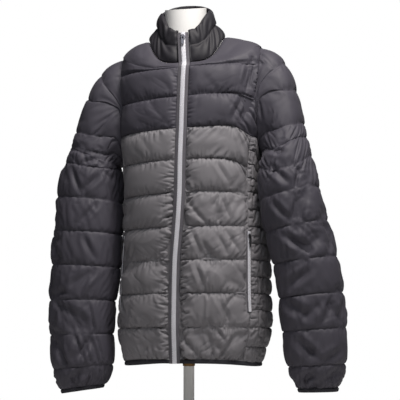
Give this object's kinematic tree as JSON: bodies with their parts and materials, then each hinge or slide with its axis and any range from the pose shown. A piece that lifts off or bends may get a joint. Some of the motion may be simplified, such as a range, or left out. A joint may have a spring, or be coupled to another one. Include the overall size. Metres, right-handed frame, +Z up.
{
  "type": "down jacket on a dress form",
  "caption": "Zipped hip-length quilted down jacket with long sleeves and a stand collar, worn by a plain white limbless dress form on a pole with a round foot.",
  "frame": {"origin": "the middle of the round foot's flat underside, on the pole's axis", "axes": "+Z is up the pole, the jacket's zip faces -Y, and the wearer's left sleeve is on +X"},
  "size_m": [0.6219, 0.3, 0.9247],
  "materials": {
    "dark_nylon": "fine downproof nylon with a soft sheen, charcoal",
    "grey_nylon": "fine downproof nylon with a soft sheen, mid-grey",
    "elastic": "matte black knitted elastic",
    "zip_tape": "woven tape with a silver coil",
    "zip_metal": "satin silver",
    "pull_moulded": "matte dark moulding",
    "form_white": "smooth matte white",
    "ferrule_bronze": "satin dark bronze",
    "foot_steel": "satin dark steel"
  },
  "bodies": {
    "jacket": {"form_torso": "form_white", "form_pole": "form_white", "form_ferrule": "ferrule_bronze", "form_foot": "foot_steel", "back": "grey_nylon", "collar": "dark_nylon", "cuff_left": "elastic", "cuff_right": "elastic", "front_left": "grey_nylon", "front_right": "grey_nylon", "hem": "elastic", "pocket_slider_left": "zip_metal", "pocket_slider_right": "zip_metal", "pocket_zip_left": "zip_tape", "pocket_zip_right": "zip_tape", "side_left": "grey_nylon", "side_right": "grey_nylon", "sleeve_left": "dark_nylon", "sleeve_right": "dark_nylon", "yoke_back": "dark_nylon", "yoke_front_left": "dark_nylon", "yoke_front_right": "dark_nylon", "zip_slider": "zip_metal", "zip_tape_left": "zip_tape", "zip_tape_right": "zip_tape"},
    "zip_pull": {"zip_pull": "zip_metal"},
    "pocket_pull_left": {"pocket_pull_left": "pull_moulded"},
    "pocket_pull_right": {"pocket_pull_right": "pull_moulded"}
  },
  "joints": [
    {"name": "zip_pull_hinge", "type": "hinge", "parent": "jacket", "child": "zip_pull", "pos_m": [0.00115, -0.06949, 0.82452], "axis": [-0.9954, -0.0954, 0], "range_deg": [0, 150]},
    {"name": "pocket_pull_left_hinge", "type": "hinge", "parent": "jacket", "child": "pocket_pull_left", "pos_m": [0.14057, -0.08207, 0.41217], "axis": [-0.6729, -0.7351, 0.0826], "range_deg": [0, 150]},
    {"name": "pocket_pull_right_hinge", "type": "hinge", "parent": "jacket", "child": "pocket_pull_right", "pos_m": [-0.13031, -0.04379, 0.41091], "axis": [-0.4271, 0.8899, 0.16], "range_deg": [0, 150]}
  ]
}
